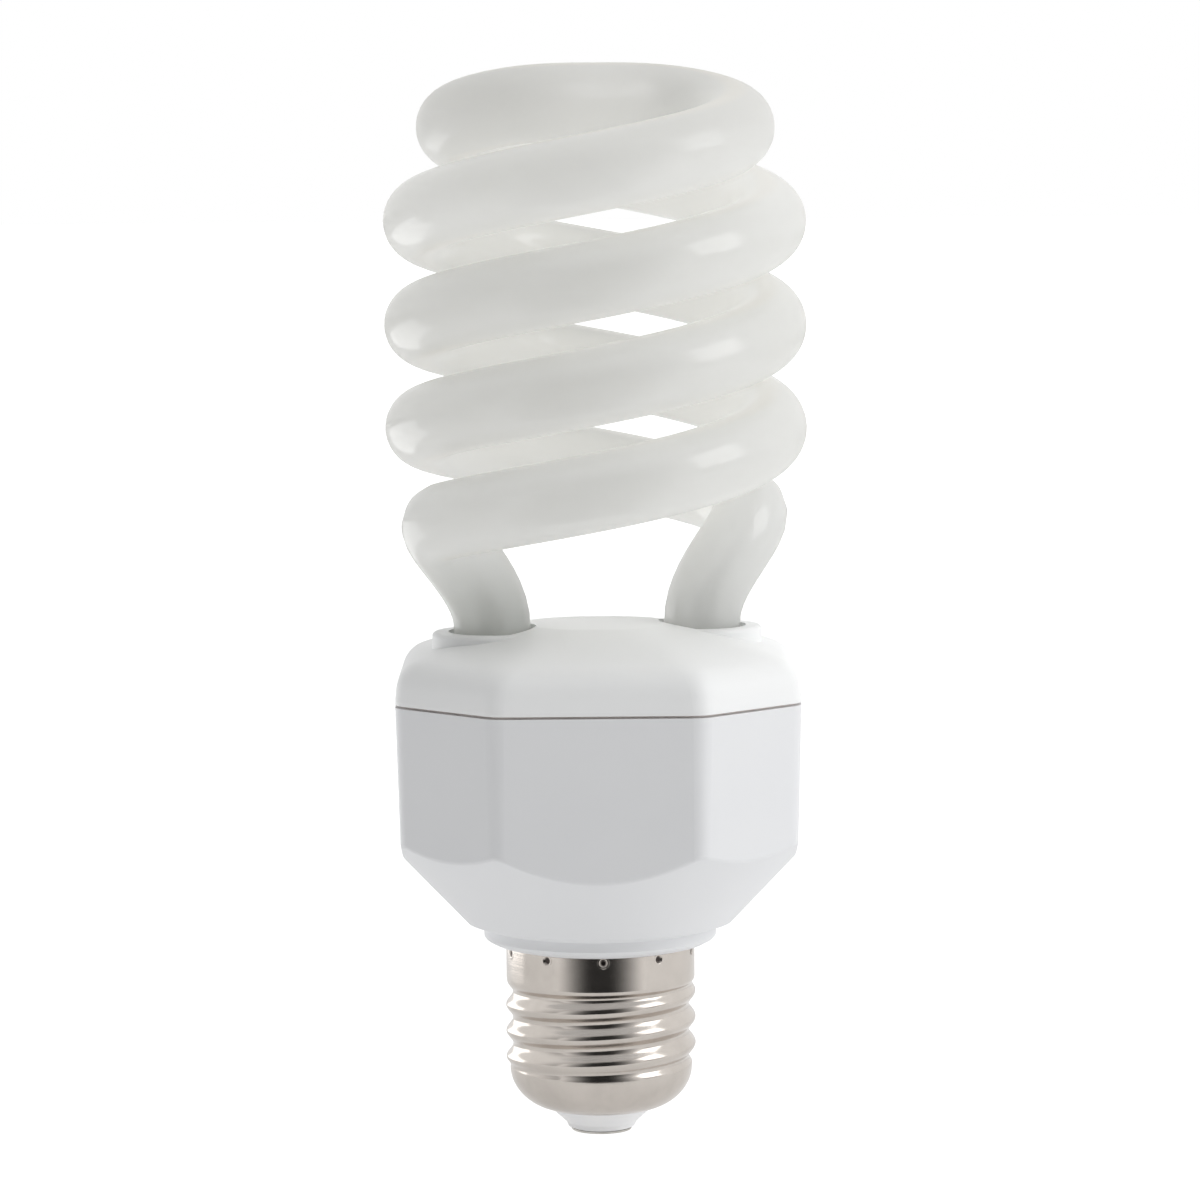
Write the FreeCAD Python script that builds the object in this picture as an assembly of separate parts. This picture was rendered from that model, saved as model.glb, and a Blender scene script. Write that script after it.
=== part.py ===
import FreeCAD, Part
import math
import os
from FreeCAD import Vector

# Spiral energy saving lamp, standing on its centre contact. Millimetres, +Z up,
# origin at the middle of the contact face, camera side of the photo towards -Y.

# Screw cap, 27 mm knuckle thread
thread_crest_d = 26.2
thread_depth = 0.95
thread_pitch = 3.629
thread_crest_z = 19.4
shell_wall = 0.3
lip_hole_r = 6.6
lip_z = 3.2
dish_top_z = 8.9
thread_low_z = 10.2
thread_high_z = 19.6
skirt_low_z = 21.4
shell_top_z = 26.0

# Insulator and centre contact
contact_proud = 0.3
contact_r = 4.2
rivet_r = 1.4
rivet_head_r = 2.3
rivet_head_h = 0.4
foot_r = 4.9
foot_round = 0.9
plug_above_lip = 2.3

# Lower housing: a chamfered square prism on a cone with a neck
body_half = 27.4
flat_half = 14.0
corner_r = 3.6
body_draft_deg = 1.5
seam_z = 60.65
seam_gap = 0.35
housing_wall = 1.6
cone_foot_r = 18.4
cone_foot_z = 29.4
cone_slope = 0.945
collar_r = 16.0
collar_top_z = 28.6
collar_low_z = 27.3
neck_bore_r = 10.6
neck_end_z = 16.5
cone_edge_round = 0.7

# Upper cover
cover_band = 0.5
cover_lean_deg = 5.0
roof_slope_deg = 20.0
shoulder_round = 4.5
shoulder_drop = 5.0
cover_top_z = 70.8
crown_half = 9.0
cover_wall = 2.0
spigot_depth = 4.8
spigot_wall = 1.2
spigot_gap = 0.25
latch_w = 8.0
latch_h = 1.2
latch_out = 0.4
rest_w = 3.0
rest_deep = 2.0

# Glass spiral
tube_r = 5.25
coil_r = 23.5
half_turn_rise = 14.05
coil_start_z = 83.2
start_deg = 210.4
crown_deg = 801.0
crown_end_deg = 941.0
crown_inset_power = 2.4
crown_rise_power = 10.0
leg_x = 14.4
leg_y = 3.0
leg_stub = 0.7
leg_depth = 8.7
leg_pull = 21.4
coil_pull = 22.5
hole_gap = 0.75
sleeve_wall = 2.2
sleeve_drop = 1.1
sleeve_len = 6.1
sleeve_round = 0.6
cement_below = 2.5
cement_len = 3.3
fit_gap = 0.05

# Ballast board and its parts, hanging below the board
board_t = 1.6
board_gap = 0.3
board_edge = 1.2
part_gap = 0.8
filament_half = 2.0
board_drop = 1.8
lead_r = 0.35
lead_hole_gap = 0.12
lead_proud = 1.0
reservoir_r = 6.3
reservoir_h = 19.0
choke_w = 16.0
choke_d = 5.0
choke_h = 14.0
choke_leg = 4.2
choke_yoke = 2.4
bobbin_wall = 0.7
toroid_out_r = 4.6
toroid_in_r = 2.4
toroid_h = 4.4
toroid_wire = 0.6
filter_r = 3.8
filter_h = 8.6
film_w = 9.6
film_d = 4.4
film_h = 8.4
transistor_w = 7.8
transistor_d = 3.0
transistor_h = 10.6
diode_r = 1.3
diode_len = 5.0
diode_gap = 1.4
axial_bend = 1.6
resistor_r = 0.95
resistor_len = 4.2
resistor_gap = 1.1
fuse_r = 1.7
fuse_len = 8.0
fuse_mid_z = 21.0

thread_r = thread_crest_d / 2.0
skirt_r = thread_r - 0.1
seam_low_z = seam_z - seam_gap / 2.0
seam_high_z = seam_z + seam_gap / 2.0
draft = math.tan(math.radians(body_draft_deg))
board_top_z = seam_z - board_drop
board_low_z = board_top_z - board_t
sleeve_top_z = cover_top_z - sleeve_drop
sleeve_low_z = sleeve_top_z - sleeve_len
cement_high_z = sleeve_top_z - cement_below
cement_low_z = cement_high_z - cement_len
leg_straight_z = sleeve_top_z + leg_stub
leg_end_z = sleeve_top_z - leg_depth
hole_r = tube_r + hole_gap
sleeve_r = hole_r + sleeve_wall
spigot_half = body_half - housing_wall - spigot_gap
board_half = spigot_half - spigot_wall - board_gap
lead_spots = []
up = Vector(0, 0, 1)


def turned(shape, degrees):
    copy = shape.copy()
    copy.rotate(Vector(0, 0, 0), up, degrees)
    return copy


def moved(shape, x, y, z):
    copy = shape.copy()
    copy.translate(Vector(x, y, z))
    return copy


def block(width, depth, height, x, y, z):
    return Part.makeBox(width, depth, height, Vector(x - width / 2.0, y - depth / 2.0, z))


def rod(radius, height, x, y, z):
    return Part.makeCylinder(radius, height, Vector(x, y, z))


def turned_profile(points):
    corners = [Vector(r, 0, z) for r, z in points]
    face = Part.Face(Part.makePolygon(corners + corners[:1]))
    return face.revolve(Vector(0, 0, 0), up, 360)


def octagon(half, flat, rounding, z):
    # Square with chamfered corners; every corner turns 45 degrees and is rounded.
    corners = []
    for k in range(4):
        c = math.cos(k * math.pi / 2)
        s = math.sin(k * math.pi / 2)
        for side in (-flat, flat):
            corners.append(Vector(half * c - side * s, half * s + side * c, z))
    cut = rounding * math.tan(math.pi / 8)
    bulge = rounding / math.cos(math.pi / 8) - rounding
    edges = []
    last = None
    first = None
    for k, corner in enumerate(corners):
        back = (corners[k - 1] - corner).normalize()
        ahead = (corners[(k + 1) % 8] - corner).normalize()
        inward = (back + ahead).normalize()
        begin = corner + back * cut
        end = corner + ahead * cut
        if last is None:
            first = begin
        else:
            edges.append(Part.makeLine(last, begin))
        edges.append(Part.Arc(begin, corner + inward * bulge, end).toShape())
        last = end
    edges.append(Part.makeLine(last, first))
    return Part.Wire(edges)


def inset_octagon(inset, z):
    # Body outline moved inwards by a wall thickness.
    flat = flat_half - inset * (math.sqrt(2.0) - 1.0)
    return octagon(body_half - inset, flat, max(corner_r - inset, 0.6), z)


def scaled_octagon(half, inset, extra_round, z):
    # Cover outline: the body outline scaled to a half width, then moved inwards.
    flat = flat_half * half / body_half - inset * (math.sqrt(2.0) - 1.0)
    return octagon(half - inset, flat, max(corner_r - inset, 0.6) + extra_round, z)


def body_prism(inset, low, high):
    # Drafted prism: full size at the seam, narrower towards the neck.
    low_inset = inset + (seam_low_z - low) * draft
    high_inset = inset + (seam_low_z - high) * draft
    wires = [inset_octagon(low_inset, low), inset_octagon(high_inset, high)]
    return Part.makeLoft(wires, True, True)


def lead_pair(x, y, spacing, along_x, from_z):
    # Two wire leads that run up from a part into the board.
    shapes = []
    for side in (-0.5, 0.5):
        px = x + spacing * side * along_x
        py = y + spacing * side * (1 - along_x)
        lead_spots.append((px, py))
        shapes.append(rod(lead_r, board_top_z + lead_proud - from_z, px, py, from_z))
    return shapes


def joined(shapes):
    return shapes[0].multiFuse(shapes[1:]).removeSplitter()


# Glass spiral: one tube from leg to leg, swept along a double helix
def coil_z(angle):
    return coil_start_z + half_turn_rise * (angle - 180.0) / 180.0


def helix_point(angle):
    a = math.radians(angle)
    return Vector(coil_r * math.cos(a), coil_r * math.sin(a), coil_z(angle))


def leg_curve(t):
    # Cubic bend from the upright leg into the first turn.
    a = math.radians(start_deg)
    foot = Vector(-leg_x, -leg_y, leg_straight_z)
    top = helix_point(start_deg)
    out = Vector(-math.sin(a) * coil_r, math.cos(a) * coil_r, half_turn_rise / math.pi).normalize()
    b0 = 2 * t ** 3 - 3 * t ** 2 + 1
    b1 = t ** 3 - 2 * t ** 2 + t
    b2 = -2 * t ** 3 + 3 * t ** 2
    b3 = t ** 3 - t ** 2
    return foot * b0 + up * (leg_pull * b1) + top * b2 + out * (coil_pull * b3)


def crown_point(u):
    # Last turn draws in to the axis and levels out, where it meets its other half.
    angle = crown_deg + (crown_end_deg - crown_deg) * u
    a = math.radians(angle)
    r = coil_r * math.sqrt(max(0.0, 1.0 - u ** crown_inset_power))
    climb = half_turn_rise * (crown_end_deg - crown_deg) / 180.0
    z = coil_z(crown_deg) + climb * (u - u ** crown_rise_power / crown_rise_power)
    return Vector(r * math.cos(a), r * math.sin(a), z)


def spiral_path():
    # Closely spaced points from the end of one leg over the crown to the other.
    points = []
    for k in range(20):
        points.append(Vector(-leg_x, -leg_y, leg_end_z + (leg_straight_z - leg_end_z) * k / 20.0))
    for k in range(60):
        points.append(leg_curve(k / 60.0))
    for k in range(500):
        points.append(helix_point(start_deg + (crown_deg - start_deg) * k / 500.0))
    for k in range(200):
        points.append(crown_point(1.0 - (1.0 - k / 200.0) ** 1.7))
    middle = Vector(0, 0, crown_point(1.0).z)
    other = [Vector(-p.x, -p.y, p.z) for p in reversed(points)]
    return points + [middle] + other


def even_stations(points, step):
    lengths = [0.0]
    for k in range(1, len(points)):
        lengths.append(lengths[-1] + (points[k] - points[k - 1]).Length)
    count = int(lengths[-1] / step)
    stations = []
    j = 0
    for k in range(count + 1):
        target = lengths[-1] * k / count
        while j < len(points) - 2 and lengths[j + 1] < target:
            j += 1
        t = (target - lengths[j]) / (lengths[j + 1] - lengths[j])
        stations.append(points[j] + (points[j + 1] - points[j]) * t)
    return stations


def tube_rings(stations, radius, around):
    # Rings square to the path, carried along it without twist.
    last = len(stations) - 1
    side = Vector(1, 0, 0)
    rings = []
    for k, centre in enumerate(stations):
        along = (stations[min(k + 1, last)] - stations[max(k - 1, 0)]).normalize()
        side = (side - along * side.dot(along)).normalize()
        other = along.cross(side)
        ring = []
        for j in range(around):
            a = 2 * math.pi * j / around
            ring.append(centre + side * (radius * math.cos(a)) + other * (radius * math.sin(a)))
        rings.append(ring)
    return rings


def eased(before, here, after):
    return here - (before + after - here * 2) * (1.0 / 6.0)


def ring_wall(rings):
    # Smooth cubic wall through rings of points, closed around and open at both ends.
    count = len(rings)
    around = len(rings[0])
    poles = []
    for i, ring in enumerate(rings):
        if 0 < i < count - 1:
            ring = [eased(rings[i - 1][j], rings[i][j], rings[i + 1][j]) for j in range(around)]
        poles.append([eased(ring[j - 1], ring[j], ring[(j + 1) % around]) for j in range(around)])
    return cubic_wall(poles)


def cubic_wall(poles):
    count = len(poles)
    around = len(poles[0])
    surface = Part.BSplineSurface()
    surface.buildFromPolesMultsKnots(
        poles, [4] + [1] * (count - 4) + [4], [1] * (around + 1),
        list(range(count - 2)), list(range(around + 1)), False, True, 3, 3)
    return surface


def wall_lengths(surface, spans):
    # Cuts a long wall into short faces that meet smoothly.
    last = surface.NbUKnots - 1
    cuts = list(range(spans, last - spans // 2, spans))
    for cut in cuts:
        surface.insertUKnot(cut, 3, 1e-9)
    poles = surface.getPoles()
    faces = []
    row = 0
    for low, high in zip([0] + cuts, cuts + [last]):
        rows = poles[row:row + high - low + 3]
        faces.append(cubic_wall(rows).toShape())
        row += high - low + 2
    return faces


def make_spiral():
    stations = even_stations(spiral_path(), tube_r * 0.7)
    walls = wall_lengths(ring_wall(tube_rings(stations, tube_r, 16)), 9)
    rims = [e for wall in (walls[0], walls[-1]) for e in wall.Edges]
    ends = [Part.Face(Part.Wire([e])) for e in rims if e.BoundBox.ZMax < leg_end_z + 0.1]
    return closed_solid(walls + ends)


def closed_solid(faces):
    shell = Part.makeShell(faces)
    shell.sewShape()
    solid = Part.makeSolid(Part.Shell(shell.Faces))
    if solid.Volume < 0:
        solid.reverse()
    return solid


# Screw shell: a sheet of even thickness with the thread rolled into it
def fade(z):
    # Thread depth runs in and out at both ends of the threaded length.
    if z <= dish_top_z or z >= skirt_low_z:
        return 0.0
    if z < thread_low_z:
        t = (z - dish_top_z) / (thread_low_z - dish_top_z)
    elif z > thread_high_z:
        t = (skirt_low_z - z) / (skirt_low_z - thread_high_z)
    else:
        t = 1.0
    return t * t * (3 - 2 * t)


def shell_rows(inset):
    # Meridian of the shell from the lip up to the top edge, as radius and height.
    dish_r = skirt_r - thread_depth * 0.45
    rows = []
    steps = 12
    for k in range(steps):
        t = math.pi / 2 * k / steps
        r = lip_hole_r + (dish_r - lip_hole_r) * math.sin(t)
        z = lip_z + (dish_top_z - lip_z) * (1 - math.cos(t)) ** 0.92
        slope_r = (dish_r - lip_hole_r) * math.cos(t)
        slope_z = (dish_top_z - lip_z) * math.sin(t)
        size = math.hypot(slope_r, slope_z)
        if k == 0:
            rows.append((lip_hole_r, lip_z + inset))
        else:
            rows.append((r - inset * slope_z / size, z + inset * slope_r / size))
    count = 44
    for k in range(count + 1):
        z = dish_top_z + (shell_top_z - dish_top_z) * k / count
        blend = min(1.0, max(0.0, (z - thread_high_z) / (skirt_low_z - thread_high_z)))
        low = dish_r - inset
        rows.append((low + (skirt_r - inset - low) * blend * blend * (3 - 2 * blend), z))
    return rows


def shell_face(inset):
    columns = 48
    rings = []
    for r, z in shell_rows(inset):
        ring = []
        for k in range(columns):
            a = 2 * math.pi * k / columns + math.pi / 2
            wave = math.cos(2 * math.pi * (z - thread_crest_z) / thread_pitch - a)
            top = thread_r - inset
            crest = (top - thread_depth / 2.0 + wave * thread_depth / 2.0 - r) * fade(z)
            ring.append(Vector((r + crest) * math.cos(a), (r + crest) * math.sin(a), z))
        rings.append(ring)
    return ring_wall(rings).toShape()


def rim_ring(outer, inner, z):
    rims = []
    for face in (outer, inner):
        boxes = [(e, e.BoundBox) for e in face.Edges]
        rims.append(Part.Wire([e for e, b in boxes if max(abs(b.ZMin - z), abs(b.ZMax - z)) < 1e-4]))
    rims[1].reverse()
    return Part.Face(rims)


def bottom_rim(face):
    return Part.Wire([e for e in face.Edges if e.BoundBox.ZMax < lip_z + shell_wall + 0.01])


def make_screw_shell():
    outer = shell_face(0.0)
    inner = shell_face(shell_wall)
    top = rim_ring(outer, inner, shell_top_z)
    lip = Part.makeLoft([bottom_rim(outer), bottom_rim(inner)], False, True)
    return closed_solid([outer, inner, top] + lip.Faces)


def make_insulator():
    half = contact_proud
    body = turned_profile([
        (rivet_r + fit_gap, half),
        (foot_r - foot_round, half),
        (foot_r - foot_round * 0.3, half + foot_round * 0.3),
        (foot_r, half + foot_round),
        (lip_hole_r + 0.5, lip_z),
        (lip_hole_r - fit_gap, lip_z),
        (lip_hole_r - fit_gap, lip_z + plug_above_lip),
        (rivet_r + fit_gap, lip_z + plug_above_lip),
    ])
    return body


def make_contact():
    top = lip_z + plug_above_lip
    return turned_profile([
        (0, 0),
        (contact_r - 0.15, 0),
        (contact_r, contact_proud * 0.5),
        (contact_r, contact_proud),
        (rivet_r, contact_proud),
        (rivet_r, top),
        (rivet_head_r, top),
        (rivet_head_r * 0.8, top + rivet_head_h),
        (0, top + rivet_head_h),
    ])


# Lower housing
def cone_r(z):
    return cone_foot_r + (z - cone_foot_z) * cone_slope


def make_housing():
    wide = body_half * 1.6
    wide_z = cone_foot_z + (wide - cone_foot_r) / cone_slope
    lift = collar_low_z - shell_top_z
    lower = turned_profile([
        (0, shell_top_z),
        (thread_r + 0.05, shell_top_z),
        (thread_r + (collar_r - thread_r) * 0.55, shell_top_z + lift * 0.3),
        (collar_r - (collar_r - thread_r) * 0.12, shell_top_z + lift * 0.68),
        (collar_r, collar_low_z),
        (collar_r, collar_top_z),
        (cone_foot_r, cone_foot_z),
        (wide, wide_z),
        (wide, wide_z + body_half),
        (0, wide_z + body_half),
    ])
    outer = body_prism(0.0, shell_top_z, seam_low_z).common(lower)
    plain = [e for e in outer.Edges if rounded_edge(e)]
    outer = outer.makeFillet(cone_edge_round, plain)
    step = body_prism(housing_wall * 0.5, seam_low_z - 1.0, seam_high_z)
    neck = rod(skirt_r - shell_wall - fit_gap, shell_top_z - skirt_low_z, 0, 0, skirt_low_z)
    inner_thread_r = thread_r - thread_depth - shell_wall
    stem = rod(inner_thread_r - 0.2, shell_top_z - neck_end_z, 0, 0, neck_end_z)
    solid = joined([outer, step, neck, stem])
    floor_z = cone_foot_z + housing_wall
    slant = housing_wall * math.sqrt(1 + cone_slope ** 2)
    inside = turned_profile([
        (0, neck_end_z - 1.0),
        (neck_bore_r, neck_end_z - 1.0),
        (neck_bore_r, floor_z),
        (cone_r(floor_z) - slant, floor_z),
        (wide, floor_z + (wide - cone_r(floor_z) + slant) / cone_slope),
        (wide, wide_z + body_half),
        (0, wide_z + body_half),
    ])
    room = body_prism(housing_wall, neck_end_z - 1.0, seam_high_z + 1.0).common(inside)
    solid = solid.cut(room)
    reach = spigot_half + latch_out + 0.15
    for k in range(4):
        pocket = block(1.5, latch_w + 0.4, latch_h + 0.3, reach - 0.75, 0, latch_z() - 0.15)
        solid = solid.cut(turned(pocket, 90 * k))
    return solid


def rounded_edge(edge):
    # Edges where the prism walls run into the cone.
    box = edge.BoundBox
    middle = edge.valueAt((edge.FirstParameter + edge.LastParameter) / 2.0)
    on_cone = abs(math.hypot(middle.x, middle.y) - cone_r(middle.z)) < 0.01
    return on_cone and box.ZMin > cone_foot_z + 2.0


# Upper cover
def latch_z():
    return seam_high_z - spigot_depth + 1.6


def roof_profile():
    # Half widths and heights up the cover: leaning wall, round shoulder, roof that levels out.
    lean = math.radians(cover_lean_deg)
    slope = math.radians(roof_slope_deg)
    base_z = seam_high_z + cover_band
    meet_z = cover_top_z - shoulder_drop
    meet = Vector(body_half - math.tan(lean) * (meet_z - base_z), 0, meet_z)
    turn = math.pi / 2 - lean - slope
    cut = shoulder_round * math.tan(turn / 2.0)
    start = meet - Vector(-math.sin(lean), 0, math.cos(lean)) * cut
    centre = start - Vector(math.cos(lean), 0, math.sin(lean)) * shoulder_round
    low_wall = Vector(body_half, 0, base_z)
    wall_steps = max(2, int((start - low_wall).Length / 1.0))
    points = [low_wall + (start - low_wall) * (k / wall_steps) for k in range(wall_steps)]
    for k in range(6):
        a = lean + turn * k / 5.0
        points.append(centre + Vector(math.cos(a), 0, math.sin(a)) * shoulder_round)
    edge = points[-1]
    power = math.tan(slope) * edge.x / (cover_top_z - edge.z)
    roof_steps = int((edge.x - crown_half) / 1.1)
    for k in range(1, roof_steps + 1):
        half = edge.x + (crown_half - edge.x) * k / roof_steps
        points.append(Vector(half, 0, cover_top_z - (cover_top_z - edge.z) * (half / edge.x) ** power))
    return [(p.x, p.z) for p in points]


def cover_dome(drop):
    rows = roof_profile()
    soften = 3.0 / len(rows)
    wires = [scaled_octagon(half, drop, soften * k, z - drop) for k, (half, z) in enumerate(rows)]
    return Part.makeLoft(wires, True, False)


def make_cover():
    base_z = seam_high_z + cover_band
    band = Part.makeLoft([inset_octagon(0, seam_high_z), inset_octagon(0, base_z)], True, True)
    outer = band.fuse(cover_dome(0.0))
    sleeves = []
    bores = []
    for side in (-1, 1):
        x = side * leg_x
        y = side * leg_y
        sleeve = rod(sleeve_r, sleeve_len, x, y, sleeve_low_z)
        rim = [e for e in sleeve.Edges if e.BoundBox.ZMin > sleeve_top_z - 0.01]
        sleeves.append(sleeve.makeFillet(sleeve_round, rim))
        bores.append(rod(hole_r, cover_top_z - sleeve_low_z + 4.0, x, y, sleeve_low_z - 2.0))
    low = Part.makeLoft([inset_octagon(cover_wall, seam_high_z - cover_wall - 1.0),
                         inset_octagon(cover_wall, base_z - cover_wall)], True, True)
    room = low.fuse(cover_dome(cover_wall))
    shell = outer.cut(room)
    gap = housing_wall + spigot_gap
    tall = Vector(0, 0, spigot_depth + 1.2)
    ring = Part.Face(inset_octagon(gap, seam_high_z - spigot_depth)).extrude(tall)
    hole = Part.Face(inset_octagon(gap + spigot_wall, seam_high_z - spigot_depth)).extrude(tall)
    spigot = ring.cut(hole)
    rests = []
    diagonal = (body_half + flat_half) / math.sqrt(2.0) - gap - spigot_wall
    for k in range(4):
        rest = block(rest_deep + 0.6, rest_w, base_z - board_top_z,
                     diagonal - rest_deep / 2.0 + 0.3, 0, board_top_z)
        hook = block(board_gap + 0.9, rest_w, 0.7, diagonal - 0.15, 0, board_low_z - 0.7)
        rests.append(turned(rest, 45 + 90 * k))
        rests.append(turned(hook, 45 + 90 * k))
        latch = block(latch_out + spigot_wall * 0.5, latch_w, latch_h,
                      spigot_half + latch_out / 2.0 - spigot_wall * 0.25, 0, latch_z())
        rests.append(turned(latch, 90 * k))
    solid = joined([shell, spigot] + sleeves + rests)
    for bore in bores:
        solid = solid.cut(bore)
    return solid


def make_cement(side):
    ring = rod(hole_r - fit_gap, cement_high_z - cement_low_z, side * leg_x, side * leg_y, cement_low_z)
    core = rod(tube_r + fit_gap, cement_high_z - cement_low_z, side * leg_x, side * leg_y, cement_low_z)
    return ring.cut(core)


# Ballast parts
def make_reservoir(x, y):
    low = board_low_z - reservoir_h
    can = rod(reservoir_r, reservoir_h, x, y, low)
    can = can.makeFillet(0.6, [e for e in can.Edges if len(e.Vertexes) == 1])
    groove = Part.makeTorus(reservoir_r + 0.25, 0.6, Vector(x, y, board_low_z - 2.2))
    return joined([can.cut(groove)] + lead_pair(x, y, 5.0, 1, board_low_z - 0.5))


def bobbin_depth():
    return choke_d + choke_w - choke_leg - 2 * choke_yoke - 0.4


def make_choke(x, y):
    low = board_low_z - choke_h
    core = block(choke_w, choke_d, choke_h, x, y, low)
    window_w = (choke_w - choke_leg) / 2.0 - choke_yoke
    window_h = choke_h - 2 * choke_yoke
    for side in (-1, 1):
        wx = x + side * (choke_leg + window_w) / 2.0
        core = core.cut(block(window_w, choke_d * 2, window_h, wx, y, low + choke_yoke))
    in_w = choke_leg + 2 * fit_gap
    in_d = choke_d + 2 * fit_gap
    floor = low + choke_yoke + fit_gap
    tall = window_h - 2 * fit_gap
    out_w = in_w + 2 * bobbin_wall
    out_d = in_d + 2 * bobbin_wall
    flange_w = choke_leg + 2 * window_w - 0.4
    flange_d = bobbin_depth()
    bobbin = block(out_w, out_d, tall, x, y, floor)
    for z in (floor, floor + tall - bobbin_wall):
        bobbin = bobbin.fuse(block(flange_w, flange_d, bobbin_wall, x, y, z))
    bobbin = bobbin.cut(block(in_w, in_d, tall + 2, x, y, floor - 1)).removeSplitter()
    coil_h = tall - 2 * bobbin_wall
    coil = block(flange_w - 0.5, flange_d - 0.5, coil_h, x, y, floor + bobbin_wall)
    coil = coil.makeFillet(1.6, [e for e in coil.Edges if e.BoundBox.ZLength > coil_h * 0.9])
    coil = coil.cut(block(out_w, out_d, coil_h + 2, x, y, floor + bobbin_wall - 1))
    return core, bobbin, coil


def make_toroid(x, y):
    high = board_low_z - toroid_wire
    low = high - toroid_h
    core = rod(toroid_out_r, toroid_h, x, y, low).cut(rod(toroid_in_r, toroid_h, x, y, low))
    windings = []
    for k in range(3):
        corners = [Vector(toroid_in_r - toroid_wire, 0, low - toroid_wire),
                   Vector(toroid_out_r + toroid_wire, 0, low - toroid_wire),
                   Vector(toroid_out_r + toroid_wire, 0, high + toroid_wire),
                   Vector(toroid_in_r - toroid_wire, 0, high + toroid_wire)]
        face = Part.Face(Part.makePolygon(corners + corners[:1]))
        wrap = face.revolve(Vector(0, 0, 0), up, 70 if k == 0 else 40)
        wrap = moved(turned(wrap, 120 * k), x, y, 0)
        windings.append(wrap.cut(core))
    return core, windings


def make_filter(x, y):
    low = board_low_z - filter_h
    flange = filter_h * 0.18
    waist = filter_r * 0.5
    core = joined([rod(filter_r, flange, x, y, low),
                   rod(waist, filter_h, x, y, low),
                   rod(filter_r, flange, x, y, board_low_z - flange)])
    tall = filter_h - 2 * flange
    coil = rod(filter_r - 0.5, tall, x, y, low + flange).cut(rod(waist, tall, x, y, low + flange))
    return core, coil


def make_film(x, y, along_x):
    width = film_w if along_x else film_d
    depth = film_d if along_x else film_w
    body = block(width, depth, film_h, x, y, board_low_z - film_h)
    body = body.makeFillet(0.9, [e for e in body.Edges if e.BoundBox.ZMin < board_low_z - 0.1])
    return joined([body] + lead_pair(x, y, film_w * 0.75, along_x, board_low_z - 0.5))


def make_transistor(x, y):
    stand = 2.0
    low = board_low_z - stand - transistor_h
    body = block(transistor_w, transistor_d, transistor_h, x, y, low)
    body = body.makeChamfer(0.4, [e for e in body.Edges if e.BoundBox.YMax < y])
    hole = Part.makeCylinder(1.5, transistor_d * 2, Vector(x, y - transistor_d, low + 3.4), Vector(0, 1, 0))
    foot = board_low_z - stand - 0.5
    shapes = [body.cut(hole)]
    for k in (-1, 0, 1):
        px = x + 2.3 * k
        lead_spots.append((px, y))
        shapes.append(rod(lead_r, board_top_z + lead_proud - foot, px, y, foot))
    return joined(shapes)


def make_axial(radius, length, x, y, along_x):
    # Body lying against the board with its two leads bent up into it.
    z = board_low_z - radius
    direction = Vector(along_x, 1 - along_x, 0)
    reach = length / 2.0 + axial_bend
    body = Part.makeCylinder(radius, length, Vector(x, y, z) - direction * (length / 2.0), direction)
    body = body.makeFillet(radius * 0.25, [e for e in body.Edges if len(e.Vertexes) == 1])
    wire = Part.makeCylinder(lead_r, 2 * reach, Vector(x, y, z) - direction * reach, direction)
    bends = [Part.makeSphere(lead_r, Vector(x, y, z) + direction * (reach * s)) for s in (-1, 1)]
    return joined([body, wire] + bends + lead_pair(x, y, 2 * reach, along_x, z))


def make_fuse():
    # Fusible resistor on the live lead that runs up from the centre contact.
    foot = lip_z + plug_above_lip + rivet_head_h
    body = rod(fuse_r, fuse_len, 0, 0, fuse_mid_z - fuse_len / 2.0)
    body = body.makeFillet(0.4, [e for e in body.Edges if len(e.Vertexes) == 1])
    lead_spots.append((0, 0))
    lead = rod(lead_r, board_top_z + lead_proud - foot, 0, 0, foot)
    return joined([body, lead])


def make_shell_wire():
    # Bare return lead, bent out under the neck so that it touches the screw shell.
    x = -(neck_bore_r - 1.2)
    bend = 1.0
    low = neck_end_z - 1.2
    reach = thread_r - thread_depth - shell_wall - 0.1
    lead_spots.append((x, 0))
    drop = Part.makeLine(Vector(x, 0, board_top_z + lead_proud), Vector(x, 0, low + bend))
    c = math.cos(math.pi / 4)
    arc = Part.Arc(Vector(x, 0, low + bend), Vector(x - bend + bend * c, 0, low + bend - bend * c),
                   Vector(x - bend, 0, low)).toShape()
    out = Part.makeLine(Vector(x - bend, 0, low), Vector(-reach, 0, low))
    circle = Part.makeCircle(lead_r, Vector(x, 0, board_top_z + lead_proud), Vector(0, 0, -1))
    return Part.Wire([drop, arc, out]).makePipeShell([Part.Wire([circle])], True, False)


def make_filament_lead(side, end):
    x = side * leg_x + end * filament_half
    y = side * leg_y
    lead_spots.append((x, y))
    return rod(lead_r, leg_end_z - board_low_z + lead_proud, x, y, board_low_z - lead_proud)


def make_board():
    inset = housing_wall + spigot_gap + spigot_wall + board_gap
    plate = Part.Face(inset_octagon(inset, board_low_z)).extrude(Vector(0, 0, board_t))
    holes = [rod(lead_r + lead_hole_gap, board_t + 2, x, y, board_low_z - 1) for x, y in lead_spots]
    return plate.cut(holes[0].multiFuse(holes[1:]))


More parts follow.
